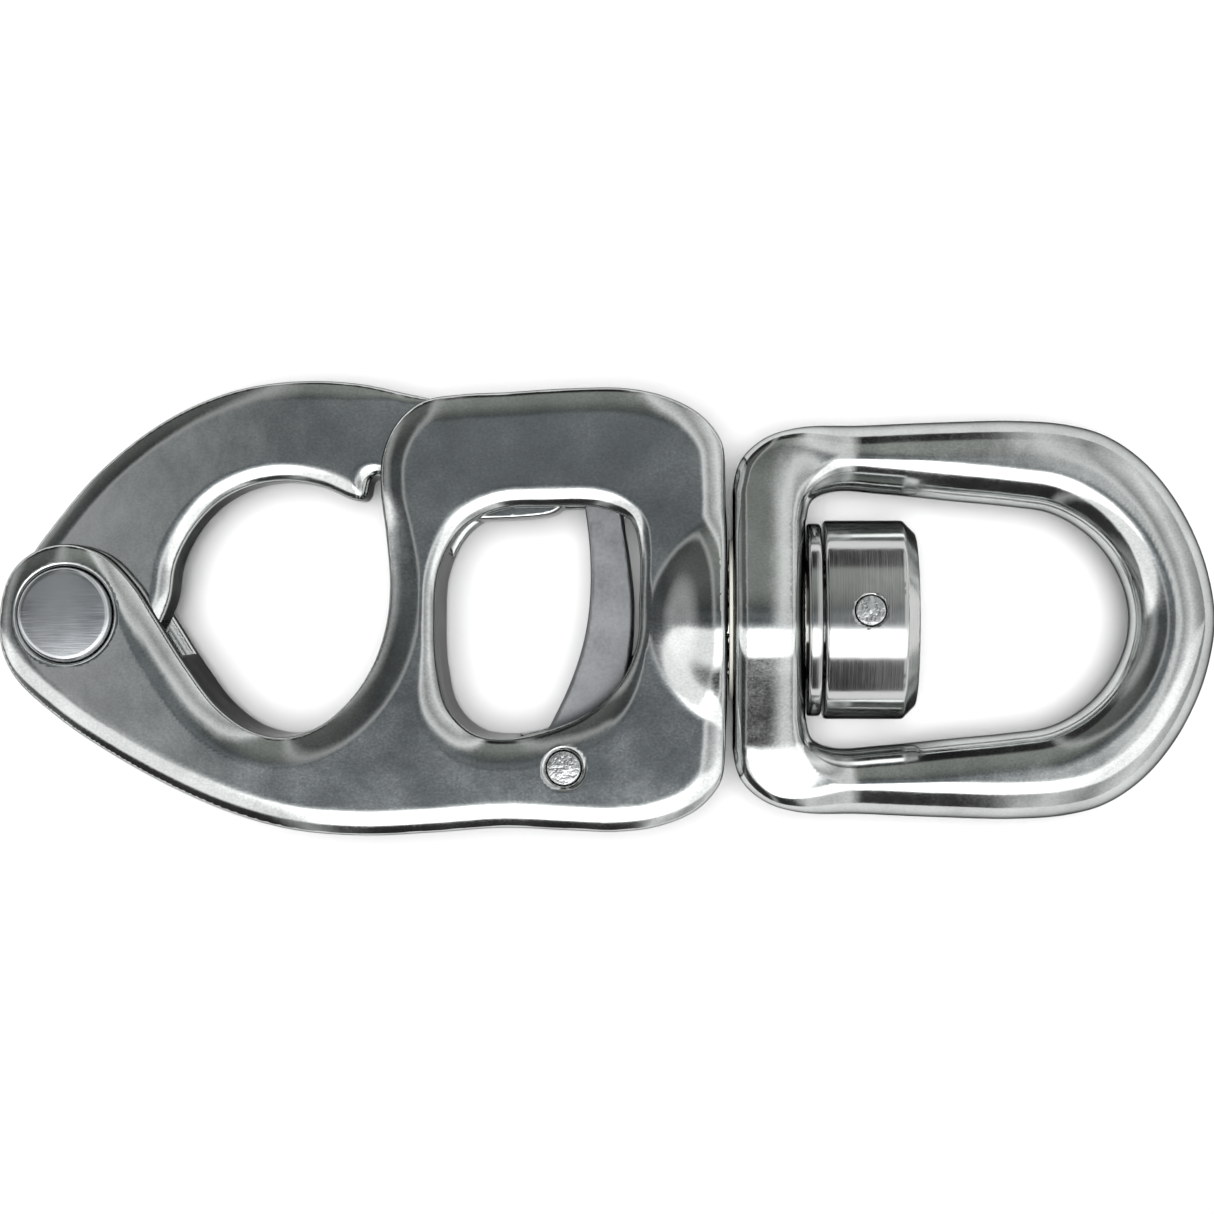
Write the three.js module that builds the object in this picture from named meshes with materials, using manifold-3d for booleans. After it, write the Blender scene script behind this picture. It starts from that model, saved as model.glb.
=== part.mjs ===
// Trigger-release snap shackle with a swivel eye, in millimetres.
//
// The body is one forging: two cheeks joined by a solid lower arm, a strut and a neck, with a round
// shank that carries the swivel. A hooked jaw turns on a pin at the nose and closes the ring; its tongue
// drops between the cheeks, where the nose of a sprung trigger catches it. The eye turns on a bush on
// the shank, between two thrust washers, and a round nut with a cross pin keeps it on.
//
// The model is drawn about its middle plane, with X along the shackle (nose at -X, eye at +X) and Y
// across it. It is set down at the end, lying flat on z = 0 with its box centred on X and Y.

import * as THREE from "three";
import { mergeVertices } from "three/addons/utils/BufferGeometryUtils.js";
import Module from "manifold-3d";

const wasm = await Module();
wasm.setup();

// ---------------------------------------------------------------- driving dimensions

const ROUND_SIDES = 40; // facets of a turned piece
const GAP = 0.3; // between two neighbouring pieces

const BODY_THICKNESS = 20; // across the cheeks
const BODY_EDGE = 3; // rounding of the body's edges
const SLOT_WIDTH = 10.6; // between the cheeks
const INNER_THICKNESS = SLOT_WIDTH - 2 * GAP; // of the jaw and the trigger
const INNER_EDGE = 1.2; // rounding of their edges

const JAW_PIVOT = [-72.2, -0.8];
const JAW_PIN_RADIUS = 6.4;
const JAW_PIN_LENGTH = 21.6; // a little proud of each cheek
const HEEL_POCKET_RADIUS = 15.4; // of the slot round the jaw's heel

const TRIGGER_PIVOT = [-4.9, -21.4];
const TRIGGER_HUB_RADIUS = 4.7;
const TRIGGER_PIN_RADIUS = 2.3;
const TRIGGER_PIN_LENGTH = 19.4;
const TRIGGER_POCKET_WALL = 9; // X of the wall that the spring stands against

const SPRING_Y = -8.5; // height of the spring's axis across the trigger
const SPRING_SEAT = -0.4; // X of the bottom of the spring's bore in the trigger
const SPRING_RADIUS = 1.75; // to the middle of the wire
const SPRING_WIRE = 0.35; // radius of the wire
const SPRING_TURNS = 6;

const SWIVEL_Y = -1.5; // Y of the swivel's axis
const BOSS_RADIUS = 13.6; // of the body's round neck, of the eye's hub and of the nut
const NECK_START = 6; // X where the round neck leaves the cheeks
const SHANK_RADIUS = 8;
const BODY_END = 17; // X of the body's end face
const EYE_START = 17.6; // X of the eye's outer face
const EYE_HUB_END = 27.6; // X of the eye's inner bearing face
const EYE_END = 83.5;
const EYE_OPENING_END = 71.9;
const WASHER_RADIUS = 13.2;
const OUTER_WASHER_RADIUS = 11;
const OUTER_WASHER_SEAT = 1.2; // depth of the outer washer's seat in the eye
const INNER_WASHER_END = 29.8;
const NUT_END = 42.7;
const BUSH_RADIUS = 9.8;
const LOCK_PIN_X = 36;
const LOCK_PIN_RADIUS = 2;
const LOCK_PIN_DEPTH = 5.5; // from the swivel's axis to the pin's inner end
const LOCK_PIN_LEAN = 5.5; // degrees round the nut from +Z

const EYE_ARM_THICKNESS = 11.6;
const EYE_ARM_EDGE = 4;

// ---------------------------------------------------------------- outlines in the XY plane

// The body from the tip of the nose: underside, end, top, strut, ring and back round the pin.
const BODY_OUTLINE = [
  [-81.5, -2.8], [-79.8, -8.6], [-73.5, -14.7], [-65.4, -20.1], [-57.4, -24.4], [-49.3, -27.8],
  [-41.2, -29.9], [-32, -30.6], [-23, -30.2], [-13, -29.5], [-5, -29.8], [2.5, -30],
  [8, -29.2], [13, -27], [16.1, -23.4], [BODY_END, -19], [BODY_END, -10], [BODY_END, 7],
  [BODY_END, 17], [16.4, 22.2], [13.6, 26], [9, 28.5], [3.5, 29.7], [-4.5, 29.7],
  [-12.9, 29.2], [-19, 28.9], [-24, 28], [-27.6, 25], [-29.5, 20.6], [-29.7, 16],
  [-29, 10], [-28.5, 3], [-29.1, -2.6], [-30.9, -7.8], [-34, -12.4], [-38, -15.8],
  [-42.6, -17.3], [-47.4, -16.4], [-51.8, -13.3], [-55.9, -8], [-60, -1.6], [-63.4, 3.6],
  [-67.4, 7.4], [-72, 8.8], [-76.4, 7.9], [-80, 4.6],
];

// The trigger window through both cheeks.
const WINDOW_OUTLINE = [
  [-22.2, -2], [-21.7, 5], [-18.8, 10.6], [-14, 13.3], [-7, 13.8], [0, 13.6],
  [4, 11.8], [5.2, 8], [5.2, 1], [4.8, -5], [2.4, -10.2], [-1.8, -14],
  [-6.6, -16.2], [-12, -17.4], [-17, -16.8], [-20.4, -13.6], [-21.9, -8],
];

// The slot between the cheeks under the jaw's tongue, and the pocket round the trigger.
const SLOT_OUTLINE = [
  [-34, 34], [-34, 11], [-23, 11], [-20.5, 7], [-18.6, 0], [-15, -10],
  [-11.2, -17], [-10.8, -22], [-9, -25.2], [-4.9, -27], [-0.8, -25.8], [3, -21],
  [6.6, -16], [TRIGGER_POCKET_WALL, -11], [TRIGGER_POCKET_WALL, 12], [10.2, 20], [10.4, 34],
];

// The jaw: heel round the pin and back over the ring, then its tongue and anti-slip hook, then the
// ring's inner wall.
const JAW_BACK = [
  [-66.6, -7.6], [-72.6, -9.3], [-77.8, -7.2], [-80.5, -2.8], [-80.3, 2.6], [-78, 7.4],
  [-74.8, 11.8], [-69.9, 17.6], [-63.9, 22.9], [-57, 27.2], [-49.5, 30], [-41.6, 31.1],
  [-33.6, 30.8], [-26, 29.2], [-18, 27.4], [-12.2, 25.4],
];
const JAW_TONGUE = [
  [-10.6, 24.2], [-10.2, 18.2], [-9.4, 17.2], [-5.9, 17.2], [-4.9, 16.4], [-4.7, 14.9],
  [-5.5, 13.1], [-7.4, 11.9], [-24.4, 11.9], [-27.4, 13.8], [-29, 17.4], [-30.4, 18.1],
  [-31.5, 17.6], [-32.2, 15.2], [-33.2, 14.7],
];
const JAW_RING_WALL = [
  [-38.1, 16.6], [-42.6, 17.4], [-47.6, 16.8], [-52.2, 14.6], [-55.8, 10.9], [-58.2, 6.2],
  [-59.1, 1], [-61.4, -3.6],
];

// The trigger: its front edge, the nose over the tongue's shoulder, and its back edge.
const TRIGGER_FRONT = [
  [-9.4, -20.2], [-6.6, -15.1], [-4.1, -9.7], [-2.4, -4.3], [-1.6, 1.2], [-1.6, 8], [-2.3, 14],
];
const TRIGGER_NOSE = [
  [-2.9, 17.5], [-8, 17.5], [-8.5, 18.6], [-8, 20.8], [-6.4, 22.6], [-3, 23.6],
];
const TRIGGER_BACK = [
  [0.6, 23], [2.2, 20.8], [2.6, 17], [2.9, 12], [3.8, 6], [4.3, 0], [3.7, -8], [1.6, -16],
];

// Half of the eye, as [X, distance from the swivel's axis]: outer edge, then the opening.
const EYE_OUTER_HALF = [
  [EYE_START, 17.5], [18.9, 21.7], [22, 24.6], [27, 26.2], [36, 26.6], [46, 27],
  [56, 27.2], [63, 26.7], [68.5, 25.2], [73.6, 21.8], [78, 16.6], [81.4, 10], [83, 4.4],
];
const EYE_INNER_HALF = [
  [27.6, 13], [28.6, 16.2], [31.6, 17.5], [38, 17.2], [48, 16.2], [56, 15.4],
  [61, 14.6], [65.5, 12.2], [69, 8.6], [71.2, 4.2],
];

// ---------------------------------------------------------------- tools

const vectors = (points) => points.map(([x, y]) => new THREE.Vector2(x, y));

// A smooth curve through points, as a shape. It closes on itself, or with a straight side.
function smoothShape(points, straightSide = false, stepsPerPoint = 2) {
  const through = points.map(([x, y]) => new THREE.Vector3(x, y, 0));
  const curve = new THREE.CatmullRomCurve3(through, !straightSide, "centripetal");
  const dense = curve.getPoints(points.length * stepsPerPoint);
  if (!straightSide) dense.pop();
  return new THREE.Shape(dense.map((p) => new THREE.Vector2(p.x, p.y)));
}

// Half an outline, its far end on the swivel's axis, and its mirror image, with a straight near side.
function mirroredShape(half, endX) {
  const lower = half.map(([x, r]) => [x, SWIVEL_Y - r]);
  const upper = half.map(([x, r]) => [x, SWIVEL_Y + r]).reverse();
  return smoothShape([...lower, [endX, SWIVEL_Y], ...upper], true);
}

// A closed three.js geometry as a manifold-3d solid.
function solid(geometry) {
  const bare = geometry.index ? geometry.toNonIndexed() : geometry.clone();
  bare.deleteAttribute("normal");
  bare.deleteAttribute("uv");
  const merged = mergeVertices(bare, 1e-4);
  return new wasm.Manifold(
    new wasm.Mesh({
      numProp: 3,
      vertProperties: merged.attributes.position.array,
      triVerts: new Uint32Array(merged.index.array),
    }),
  );
}

// A plate of the given outline about the middle plane, its edges rounded by edge.
function plate(shape, thickness, edge = 0) {
  const geometry = new THREE.ExtrudeGeometry(shape, {
    depth: thickness - 2 * edge,
    bevelEnabled: edge > 0,
    bevelThickness: edge,
    bevelSize: edge,
    bevelOffset: -edge,
    bevelSegments: 3,
  });
  return solid(geometry.translate(0, 0, edge - thickness / 2));
}

// A closed profile of [radius, height] turned about Z; it ends on the axis or closes on itself.
function turned(profile) {
  const points = vectors(profile);
  if (profile[0][0] > 0) points.push(points[0].clone());
  // LatheGeometry turns about Y, so a quarter turn brings its axis onto Z.
  return solid(new THREE.LatheGeometry(points, ROUND_SIDES).rotateX(Math.PI / 2));
}

const turnedAt = (profile, [x, y]) => turned(profile).translate([x, y, 0]);
const turnedOnSwivel = (profile) => turned(profile).rotate([0, 90, 0]).translate([0, SWIVEL_Y, 0]);

// The profile of a round bar between two heights, with chamfered ends.
const bar = (radius, from, to, chamfer = 0.001) => [
  [0, from], [radius - chamfer, from], [radius, from + chamfer],
  [radius, to - chamfer], [radius - chamfer, to], [0, to],
];

// The profile of a ring between two heights, with chamfers on its outer corners.
const ring = (inner, outer, from, to, chamferFrom, chamferTo = chamferFrom) => [
  [inner, from], [outer - chamferFrom, from], [outer, from + chamferFrom],
  [outer, to - chamferTo], [outer - chamferTo, to], [inner, to],
];

// A centred round bar along Z, for pins and their holes.
const centredBar = (radius, length, chamfer) => bar(radius, -length / 2, length / 2, chamfer);

// A bar that leans round the nut, between two distances from the swivel's axis.
function lockPinBar(radius, from, to) {
  const leaning = turned(bar(radius, from, to)).rotate([-LOCK_PIN_LEAN, 0, 0]);
  return leaning.translate([LOCK_PIN_X, SWIVEL_Y, 0]);
}

// ---------------------------------------------------------------- pieces

function makeBody() {
  const cheekShape = smoothShape(BODY_OUTLINE);
  cheekShape.holes.push(smoothShape(WINDOW_OUTLINE));
  const cheeks = plate(cheekShape, BODY_THICKNESS, BODY_EDGE);

  // The round neck swells out of the cheeks like the nose of a bullet.
  const neck = [[0, NECK_START]];
  const neckEnd = BODY_END - 0.8;
  const neckSteps = 7;
  for (let i = 1; i <= neckSteps; i += 1) {
    const angle = ((i / neckSteps) * Math.PI) / 2;
    neck.push([BOSS_RADIUS * Math.sin(angle), neckEnd - (neckEnd - NECK_START) * Math.cos(angle)]);
  }
  neck.push([BOSS_RADIUS - 0.8, BODY_END], [0, BODY_END]);
  const shank = bar(SHANK_RADIUS, BODY_END - 4, NUT_END - 0.4, 0.8);

  const slot = plate(new THREE.Shape(vectors(SLOT_OUTLINE)), SLOT_WIDTH);
  const heelPocket = centredBar(HEEL_POCKET_RADIUS, SLOT_WIDTH);
  const jawPinHole = centredBar(JAW_PIN_RADIUS + GAP, BODY_THICKNESS + 2);
  const triggerPinHole = centredBar(TRIGGER_PIN_RADIUS + GAP, BODY_THICKNESS + 2);
  return cheeks
    .add(turnedOnSwivel(neck))
    .subtract(slot)
    .subtract(turnedAt(heelPocket, JAW_PIVOT))
    .subtract(turnedAt(jawPinHole, JAW_PIVOT))
    .subtract(turnedAt(triggerPinHole, TRIGGER_PIVOT))
    .add(turnedOnSwivel(shank))
    .subtract(lockPinBar(LOCK_PIN_RADIUS + GAP, LOCK_PIN_DEPTH - GAP, BOSS_RADIUS));
}

function makeJaw() {
  const outline = [...JAW_BACK, ...JAW_TONGUE, ...JAW_RING_WALL];
  const blank = plate(new THREE.Shape(vectors(outline)), INNER_THICKNESS, INNER_EDGE);
  const pinHole = centredBar(JAW_PIN_RADIUS + GAP, BODY_THICKNESS);
  return blank.subtract(turnedAt(pinHole, JAW_PIVOT));
}

function makeTrigger() {
  const hubArc = [];
  const hubSteps = 10;
  for (let i = 0; i <= hubSteps; i += 1) {
    const angle = THREE.MathUtils.degToRad(-10 - (160 * i) / hubSteps);
    hubArc.push([
      TRIGGER_PIVOT[0] + TRIGGER_HUB_RADIUS * Math.cos(angle),
      TRIGGER_PIVOT[1] + TRIGGER_HUB_RADIUS * Math.sin(angle),
    ]);
  }
  const outline = [...TRIGGER_FRONT, ...TRIGGER_NOSE, ...TRIGGER_BACK, ...hubArc];
  const blank = plate(new THREE.Shape(vectors(outline)), INNER_THICKNESS, INNER_EDGE / 2);
  const pinHole = centredBar(TRIGGER_PIN_RADIUS + GAP, BODY_THICKNESS);
  const springBore = bar(SPRING_RADIUS + SPRING_WIRE + GAP, SPRING_SEAT, TRIGGER_POCKET_WALL);
  return blank
    .subtract(turnedAt(pinHole, TRIGGER_PIVOT))
    .subtract(turned(springBore).rotate([0, 90, 0]).translate([0, SPRING_Y, 0]));
}

// A coil spring from the bottom of the trigger's bore to the wall of its pocket.
function makeSpring() {
  const from = SPRING_SEAT + SPRING_WIRE + GAP / 2;
  const to = TRIGGER_POCKET_WALL - SPRING_WIRE - GAP / 2;
  const stepsPerTurn = 9;
  const steps = SPRING_TURNS * stepsPerTurn;
  const points = [];
  for (let i = 0; i <= steps; i += 1) {
    const angle = (i / stepsPerTurn) * 2 * Math.PI;
    const x = from + ((to - from) * i) / steps;
    const y = SPRING_Y + SPRING_RADIUS * Math.cos(angle);
    points.push(new THREE.Vector3(x, y, SPRING_RADIUS * Math.sin(angle)));
  }
  const wire = new THREE.Shape().absarc(0, 0, SPRING_WIRE, 0, 2 * Math.PI, false);
  const path = new THREE.CatmullRomCurve3(points);
  return solid(new THREE.ExtrudeGeometry(wire, { steps, extrudePath: path, curveSegments: 3 }));
}

function makeEye() {
  const loop = mirroredShape(EYE_OUTER_HALF, EYE_END);
  loop.holes.push(mirroredShape(EYE_INNER_HALF, EYE_OPENING_END));
  const hub = ring(BUSH_RADIUS + GAP, BOSS_RADIUS, EYE_START, EYE_HUB_END, 1.2);
  const bore = bar(BUSH_RADIUS + GAP, EYE_START - 1, EYE_HUB_END + 0.5);
  const washerSeat = bar(OUTER_WASHER_RADIUS + GAP, EYE_START - 1, EYE_START + OUTER_WASHER_SEAT);
  return plate(loop, EYE_ARM_THICKNESS, EYE_ARM_EDGE)
    .add(turnedOnSwivel(hub))
    .subtract(turnedOnSwivel(bore))
    .subtract(turnedOnSwivel(washerSeat));
}

const ON_SHANK = SHANK_RADIUS + GAP; // bore of everything that sits on the shank
const WASHER_SEAT_END = EYE_START + OUTER_WASHER_SEAT;

function makeBush() {
  return turnedOnSwivel(ring(ON_SHANK, BUSH_RADIUS, WASHER_SEAT_END + GAP, EYE_HUB_END, 0.4));
}

function makeOuterWasher() {
  const profile = ring(ON_SHANK, OUTER_WASHER_RADIUS, BODY_END + GAP, WASHER_SEAT_END - GAP, 0.2);
  return turnedOnSwivel(profile);
}

function makeInnerWasher() {
  const profile = ring(ON_SHANK, WASHER_RADIUS, EYE_HUB_END + GAP, INNER_WASHER_END, 0.5);
  return turnedOnSwivel(profile);
}

function makeNut() {
  const profile = ring(ON_SHANK, BOSS_RADIUS, INNER_WASHER_END + GAP, NUT_END, 0.5, 1.9);
  const crossHole = lockPinBar(LOCK_PIN_RADIUS + GAP, LOCK_PIN_DEPTH, BOSS_RADIUS + 1);
  return turnedOnSwivel(profile).subtract(crossHole);
}

// The cross pin ends flush with the nut, so a round of nearly the nut's radius trims it.
function makeLockPin() {
  const envelope = turnedOnSwivel(bar(BOSS_RADIUS - 0.1, LOCK_PIN_X - 5, LOCK_PIN_X + 5));
  return lockPinBar(LOCK_PIN_RADIUS, LOCK_PIN_DEPTH, BOSS_RADIUS + 1).intersect(envelope);
}

function makeJawPin() {
  return turnedAt(centredBar(JAW_PIN_RADIUS, JAW_PIN_LENGTH, 0.8), JAW_PIVOT);
}

function makeTriggerPin() {
  return turnedAt(centredBar(TRIGGER_PIN_RADIUS, TRIGGER_PIN_LENGTH, 0.3), TRIGGER_PIVOT);
}

// ---------------------------------------------------------------- assembly

const steel = (color, roughness) => ({ color, roughness, metalness: 1 });
const ACETAL = { color: 0xd8d4c4, roughness: 0.5, metalness: 0 };
const PIECES = [
  ["body", makeBody, steel(0x9aa09e, 0.3)],
  ["jaw", makeJaw, steel(0x9ea4a2, 0.28)],
  ["jaw_pin", makeJawPin, steel(0xaab0b2, 0.35)],
  ["trigger", makeTrigger, steel(0xa3a8a4, 0.3)],
  ["trigger_pin", makeTriggerPin, steel(0x9b9f9f, 0.4)],
  ["trigger_spring", makeSpring, steel(0xb4b8ba, 0.3)],
  ["swivel_eye", makeEye, steel(0x9aa09e, 0.3)],
  ["swivel_bush", makeBush, ACETAL],
  ["outer_thrust_washer", makeOuterWasher, ACETAL],
  ["inner_thrust_washer", makeInnerWasher, steel(0xa8adae, 0.35)],
  ["swivel_nut", makeNut, steel(0xa6abab, 0.35)],
  ["nut_lock_pin", makeLockPin, steel(0x9da1a2, 0.45)],
];

const snapShackle = new THREE.Group();
for (const [name, make, finish] of PIECES) {
  const { vertProperties, triVerts } = make().getMesh();
  const geometry = new THREE.BufferGeometry();
  geometry.setAttribute("position", new THREE.BufferAttribute(vertProperties, 3));
  geometry.setIndex(new THREE.BufferAttribute(triVerts, 1));
  geometry.computeVertexNormals();
  const mesh = new THREE.Mesh(geometry, new THREE.MeshStandardMaterial(finish));
  mesh.name = name;
  snapShackle.add(mesh);
}

const box = new THREE.Box3().setFromObject(snapShackle);
const middle = box.getCenter(new THREE.Vector3());
snapShackle.position.set(-middle.x, -middle.y, -box.min.z);
snapShackle.updateMatrixWorld(true);

export default snapShackle;
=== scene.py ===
"""Snap shackle with a swivel eye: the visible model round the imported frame, in metres."""

import math

import bpy
import numpy as np
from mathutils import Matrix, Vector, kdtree


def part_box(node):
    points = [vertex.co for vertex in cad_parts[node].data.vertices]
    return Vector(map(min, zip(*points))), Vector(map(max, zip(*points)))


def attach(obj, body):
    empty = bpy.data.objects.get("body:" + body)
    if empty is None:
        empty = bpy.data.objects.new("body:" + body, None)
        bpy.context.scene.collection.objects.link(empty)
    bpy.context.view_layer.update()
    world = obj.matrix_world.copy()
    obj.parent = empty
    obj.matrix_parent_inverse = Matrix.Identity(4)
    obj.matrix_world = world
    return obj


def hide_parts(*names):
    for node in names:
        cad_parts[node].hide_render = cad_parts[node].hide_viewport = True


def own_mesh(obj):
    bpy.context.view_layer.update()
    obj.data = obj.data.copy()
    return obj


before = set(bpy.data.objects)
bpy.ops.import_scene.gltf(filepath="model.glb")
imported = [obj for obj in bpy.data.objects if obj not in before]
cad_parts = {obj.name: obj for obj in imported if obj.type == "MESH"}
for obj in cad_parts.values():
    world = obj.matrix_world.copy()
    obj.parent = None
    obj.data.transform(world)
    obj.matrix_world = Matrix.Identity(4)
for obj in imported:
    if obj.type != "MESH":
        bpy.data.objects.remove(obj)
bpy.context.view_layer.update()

MM = 0.001


def middle(node):
    """The middle of a CAD node's box, in millimetres."""
    low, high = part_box(node)
    return np.array([(a + b) / 2 / MM for a, b in zip(low, high)])


# ------------------------------------------------------------------ sizes, in millimetres
# The outlines are drawn about the body's middle plane. DRAWING_ZERO is where their zero lies.

JAW_PIVOT = np.array([-72.2, -0.8])
DRAWING_ZERO = middle("jaw_pin") - [*JAW_PIVOT, 0]
TRIGGER_PIVOT = (middle("trigger_pin") - DRAWING_ZERO)[:2]
SWIVEL_Y = (middle("swivel_nut") - DRAWING_ZERO)[1]

CHEEK_HALF = 10.0  # half the thickness across the cheeks
SLOT_HALF = 5.3  # half the slot between the cheeks
INNER_HALF = 5.0  # half the thickness of the jaw and the trigger
BODY_EDGE = 2.4  # depth of the cheeks' rounded edges
EDGE_SPREAD = 1.8  # how much wider than deep the rounding is
RING_SPREAD = 0.7  # and how much more round the ring
RING_MIDDLE = (-44.0, 0.0)
RING_REACH = 23.0  # how far from there the wider rounding has faded out
RING_FADE = 5.0
RIM_CUT = 0.55  # how much of the rounding's steep foot the forging's side wall cuts away
RIM_EDGE = 0.4  # the small edge that this leaves
BODY_END = 17.0
BODY_END_EDGE = 0.8
BOSS_RADIUS = 13.6
NECK_START = 6.0
NECK_BLEND = 3.0  # how far the hollow blend from the cheeks to the round neck reaches
NECK_BLEND_AT_END = 4.2  # and how far at the body's end, where it grows to from NECK_BLEND_START
NECK_BLEND_START = 9.0
SHANK_RADIUS = 8.0
SHANK_START = 11.0  # inside the neck
SHANK_END = 42.3
WINDOW_EDGE = 1.3  # depth of the window's rounded edge
WINDOW_EDGE_BELOW = 1.9
WINDOW_SPREAD = 1.7  # how much wider than deep it is
WINDOW_SPREAD_ENDS = 2.3  # above and below the trigger
WINDOW_SPREAD_LOSS = 0.5  # what it loses towards the neck
WINDOW_EDGE_CHANGE = (4, 15)  # from what -Y to what -Y the edge deepens
WINDOW_SPREAD_CHANGE = (4, 13)  # from what distance off the X axis to what distance it widens
WINDOW_LOSS_CHANGE = (1, 5)  # from what X to what X it narrows
SLOT_EDGE = 0.5
HEEL_POCKET_RADIUS = 15.4  # of the room for the jaw's heel, round the load pin
HEEL_POCKET_EDGE = 1.1
JAW_PIN_RADIUS = 6.4
JAW_PIN_TOP = 10.8  # half its length
JAW_PIN_EDGE = 0.9
JAW_PIN_HOLE_EDGE = 0.75
TRIGGER_PIN_RADIUS = 2.3
TRIGGER_PIN_TOP = 9.7
TRIGGER_PIN_EDGE = 0.3
TRIGGER_PIN_DOME = 0.1  # how much the middle of its peened end stands up
TRIGGER_PIN_HOLE_EDGE = 0.8
PIN_GAP = 0.08  # between a pin and the cheeks' hole
JAW_GAP = 0.1  # between the load pin and the jaw
TRIGGER_GAP = 0.15
JAW_EDGE = 1.8  # depth of the jaw's rounded edges on its arm
JAW_TONGUE_EDGE = 0.7
JAW_EDGE_CHANGE = (-27, -22)  # from what X to what X the edge gets smaller
JAW_SPREAD = 1.8  # how much wider than deep the rounding is on the arm
JAW_TONGUE_SPREAD = 1.0
JAW_SPREAD_CHANGE = (-35, -28)
TRIGGER_EDGE = 0.5
SPRING_SEAT = -0.4  # X of the bottom of the spring's bore in the trigger
SPRING_BORE_RADIUS = 3.2  # wide enough to swing round the spring as the trigger turns
SPRING_BORE_Y = -7.9
SPRING_WIRE = 0.35  # radius of the wire
SPRING_COIL = 1.75  # radius of the coil, to the middle of the wire

EYE_START = 17.6
EYE_HUB_END = 27.6
EYE_ARM_HALF = 5.8
EYE_ARM_EDGE = 5.6
EYE_OUTER_EDGE = 2.0  # the edges of the end bar
EYE_INNER_EDGE = 1.4
EYE_FACE_EDGE = 0.6
EYE_BAR_BLEND = 2.0
EYE_FACES_CHANGE = (EYE_HUB_END - 2, EYE_HUB_END + 6)  # where the bar's faces run into the arms'
EYE_EDGES_CHANGE = (EYE_HUB_END - 5, EYE_HUB_END + 8)
EYE_ROOF = math.radians(23)  # slope of the end bar's faces, down from the hub to the arms
EYE_MIDDLE = 22.0
EYE_BARREL = 0.5  # how much the end bar's faces drop to its two ends
BUSH_RADIUS = 9.8
BUSH_HOLE_RADIUS = BUSH_RADIUS + 0.1
BUSH_HOLE_END = EYE_HUB_END + 1  # clear through the end bar
WASHER_SEAT_RADIUS = 11.3
WASHER_SEAT_END = 18.8
LOCK_PIN_X = 36.0
LOCK_PIN_RADIUS = 2.0
LOCK_PIN_LEAN = math.radians(5.5)
LOCK_PIN_GAP = 0.12
LOCK_PIN_EDGE = 0.18
LOCK_PIN_SUNK = 0.05  # how far its end lies below the nut's round face
LOCK_PIN_INNER_END = 6.0
PUNCH_MARKS = [(-0.7, 0.5), (0.6, 0.6), (0.0, -0.75)]
PUNCH_RADIUS = 0.22
PUNCH_DEPTH = 0.25
NUT_CHAMFER = 1.8
NUT_CHAMFER_EDGE = 0.15
NUT_HOLE_EDGE = 0.15
NUT_EDGE = 0.5
BORE_GAP = 0.2  # between the shank and what is on it
BORE_EDGE = 0.2
INNER_WASHER_RADIUS = 13.2
INNER_WASHER_EDGE = 0.5
OUTER_WASHER_RADIUS = 11.0

# ------------------------------------------------------------------ outlines, in millimetres

BODY_OUTLINE = [
    (-81.5, -2.8), (-79.8, -8.6), (-73.5, -14.7), (-65.4, -20.1), (-57.4, -24.4), (-49.3, -27.8),
    (-41.2, -29.9), (-32, -30.6), (-23, -30.2), (-13, -29.5), (-5, -29.8), (2.5, -30),
    (8, -29.2), (13, -27), (16.1, -23.4), (BODY_END, -19), (BODY_END, -10), (BODY_END, 7),
    (BODY_END, 17), (16.4, 22.2), (13.6, 26), (9, 28.5), (3.5, 29.7), (-4.5, 29.7),
    (-12.9, 29.2), (-19, 28.9), (-24, 28), (-27.6, 25), (-29.5, 20.6), (-29.7, 16),
    (-29, 10), (-28.5, 3), (-29.1, -2.6), (-30.9, -7.8), (-34, -12.4), (-38, -15.8),
    (-42.6, -17.3), (-47.4, -16.4), (-51.8, -13.3), (-55.9, -8), (-60, -1.6), (-63.4, 3.6),
    (-67.4, 7.4), (-72, 8.8), (-76.4, 7.9), (-80, 4.6),
]  # fmt: skip
WINDOW_OUTLINE = [
    (-22.2, -2), (-21.7, 5), (-18.8, 10.6), (-14, 13.3), (-7, 13.8), (0, 13.6),
    (4, 11.8), (5.2, 8), (5.2, 1), (4.8, -5), (2.4, -10.2), (-1.8, -14),
    (-6.6, -16.2), (-12, -17.4), (-17, -16.8), (-20.4, -13.6), (-21.9, -8),
]  # fmt: skip
SLOT_OUTLINE = [
    (-34, 40), (-34, 11), (-23, 11), (-20.5, 7), (-18.6, 0), (-15, -10),
    (-11.2, -17), (-10.8, -22), (-9, -25.2), (-4.9, -27), (-0.8, -25.8), (3, -21),
    (6.6, -16), (9, -11), (9, 12), (10.2, 20), (10.4, 40),
]  # fmt: skip
JAW_BACK = [
    (-66.6, -7.6), (-72.6, -9.3), (-77.8, -7.2), (-80.5, -2.8), (-80.3, 2.6), (-78, 7.4),
    (-74.8, 11.8), (-69.9, 17.6), (-63.9, 22.9), (-57, 27.2), (-49.5, 30), (-41.6, 31.1),
    (-33.6, 30.8), (-26, 29.2), (-18, 27.4), (-12.2, 25.4),
]  # fmt: skip
JAW_TONGUE = [
    (-10.6, 24.2), (-10.2, 18.2), (-9.4, 17.2), (-5.9, 17.2), (-4.9, 16.4), (-4.7, 14.9),
    (-5.7, 13.4), (-7.6, 12.6), (-24.4, 12.5), (-27.4, 14), (-29, 17.4), (-30.4, 18.1),
    (-31.5, 17.6), (-32.2, 15.2), (-33.2, 14.7),
]  # fmt: skip
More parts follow.
